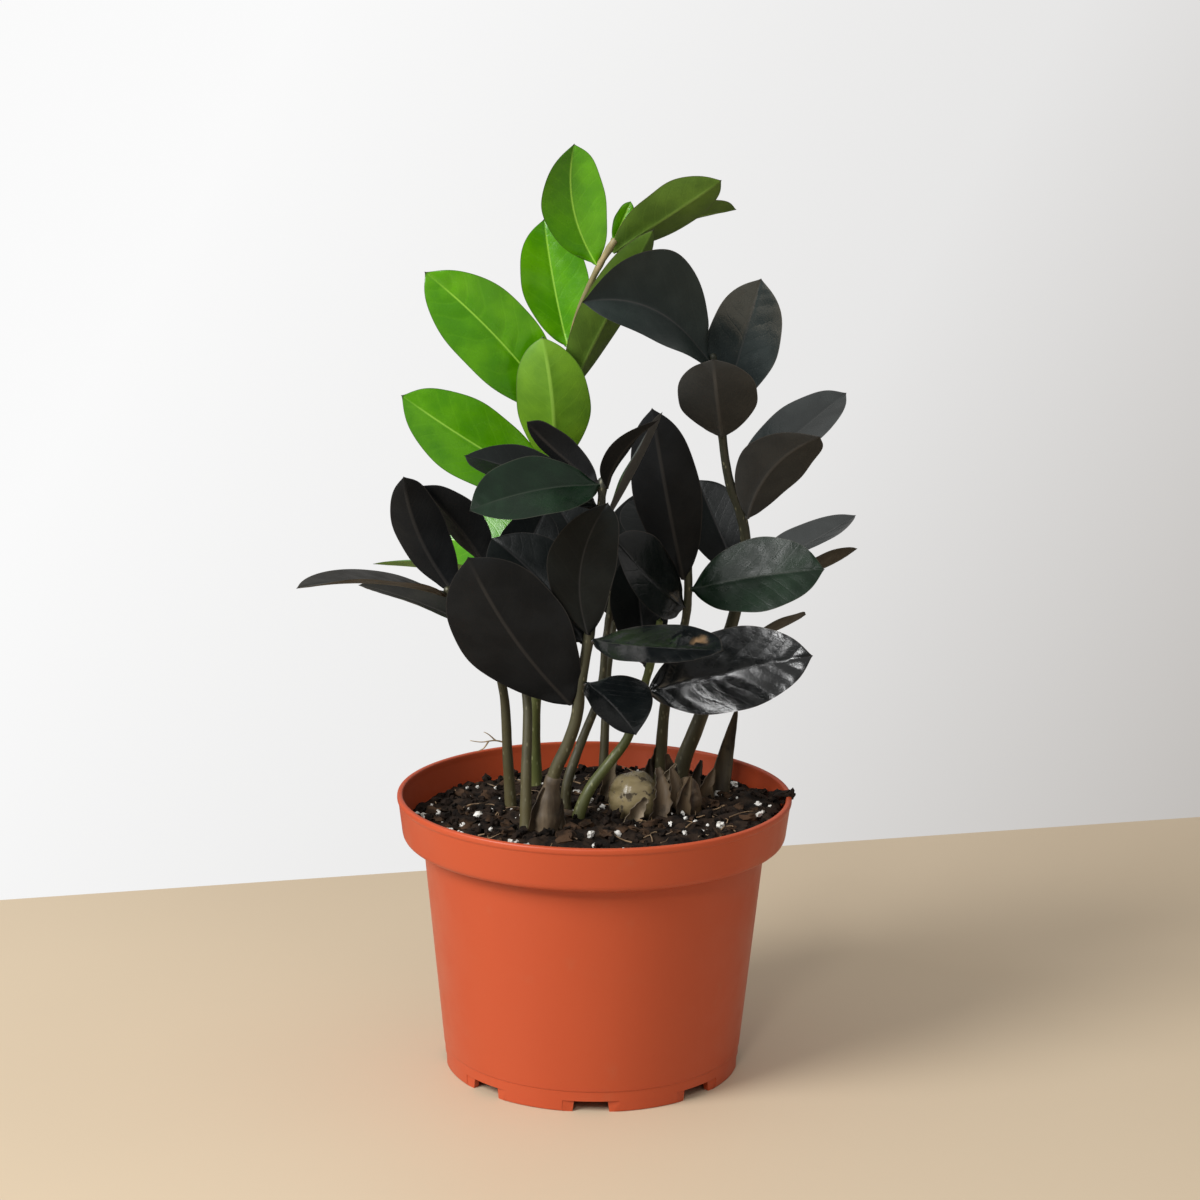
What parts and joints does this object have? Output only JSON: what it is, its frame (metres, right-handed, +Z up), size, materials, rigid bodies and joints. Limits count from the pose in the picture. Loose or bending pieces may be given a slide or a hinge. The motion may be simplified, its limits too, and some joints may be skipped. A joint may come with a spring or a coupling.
{
  "type": "potted zz plant",
  "caption": "Potted ZZ plant with near-black leaflets and a bright green young shoot, in a round terracotta-coloured plastic nursery pot of soil.",
  "frame": {"origin": "on the pot's axis, at the level of the face that the pot rests on", "axes": "+Z up along the pot's axis, +X to the right and -Y towards the viewer when the plant is seen from its front"},
  "size_m": [0.2377, 0.1706, 0.396],
  "materials": {
    "terracotta plastic": "satin",
    "potting soil": "rough",
    "dark leaf": "glossy",
    "green leaf": "glossy",
    "dark stem": "satin",
    "green stem": "satin",
    "pale rhizome": "satin",
    "brown rhizome": "matte"
  },
  "bodies": {
    "root": {"nursery_pot": "terracotta plastic", "potting_soil": "potting soil", "pale_rhizome": "pale rhizome", "papery_rhizome": "brown rhizome", "old_shoot_sheath": "brown rhizome", "back_shoot_leaflet_01": "dark leaf", "back_shoot_leaflet_02": "dark leaf", "back_shoot_stem": "dark stem", "front_shoot_leaflet_01": "dark leaf", "front_shoot_leaflet_02": "dark leaf", "front_shoot_leaflet_03": "dark leaf", "front_shoot_leaflet_04": "dark leaf", "front_shoot_leaflet_05": "dark leaf", "front_shoot_leaflet_06": "dark leaf", "front_shoot_leaflet_07": "dark leaf", "front_shoot_leaflet_08": "dark leaf", "front_shoot_leaflet_09": "dark leaf", "front_shoot_leaflet_10": "dark leaf", "front_shoot_stem": "dark stem", "green_shoot_leaflet_01": "green leaf", "green_shoot_leaflet_02": "green leaf", "green_shoot_leaflet_03": "green leaf", "green_shoot_leaflet_04": "green leaf", "green_shoot_leaflet_05": "green leaf", "green_shoot_leaflet_06": "green leaf", "green_shoot_leaflet_07": "green leaf", "green_shoot_leaflet_08": "green leaf", "green_shoot_leaflet_09": "green leaf", "green_shoot_leaflet_10": "green leaf", "green_shoot_leaflet_11": "green leaf", "green_shoot_stem": "green stem", "inner_left_shoot_leaflet_01": "dark leaf", "inner_left_shoot_leaflet_02": "dark leaf", "inner_left_shoot_stem": "dark stem", "inner_shoot_leaflet_01": "dark leaf", "inner_shoot_leaflet_02": "dark leaf", "inner_shoot_stem": "dark stem", "left_shoot_leaflet_01": "dark leaf", "left_shoot_leaflet_02": "dark leaf", "left_shoot_leaflet_03": "dark leaf", "left_shoot_stem": "dark stem", "low_shoot_leaflet_01": "dark leaf", "low_shoot_leaflet_02": "dark leaf", "low_shoot_stem": "green stem", "middle_shoot_leaflet_01": "dark leaf", "middle_shoot_leaflet_02": "dark leaf", "middle_shoot_leaflet_03": "dark leaf", "middle_shoot_leaflet_04": "dark leaf", "middle_shoot_stem": "dark stem", "right_shoot_leaflet_01": "dark leaf", "right_shoot_leaflet_02": "dark leaf", "right_shoot_leaflet_03": "dark leaf", "right_shoot_leaflet_04": "dark leaf", "right_shoot_leaflet_05": "dark leaf", "right_shoot_leaflet_06": "dark leaf", "right_shoot_leaflet_07": "dark leaf", "right_shoot_leaflet_08": "dark leaf", "right_shoot_leaflet_09": "dark leaf", "right_shoot_stem": "dark stem"}
  },
  "joints": []
}
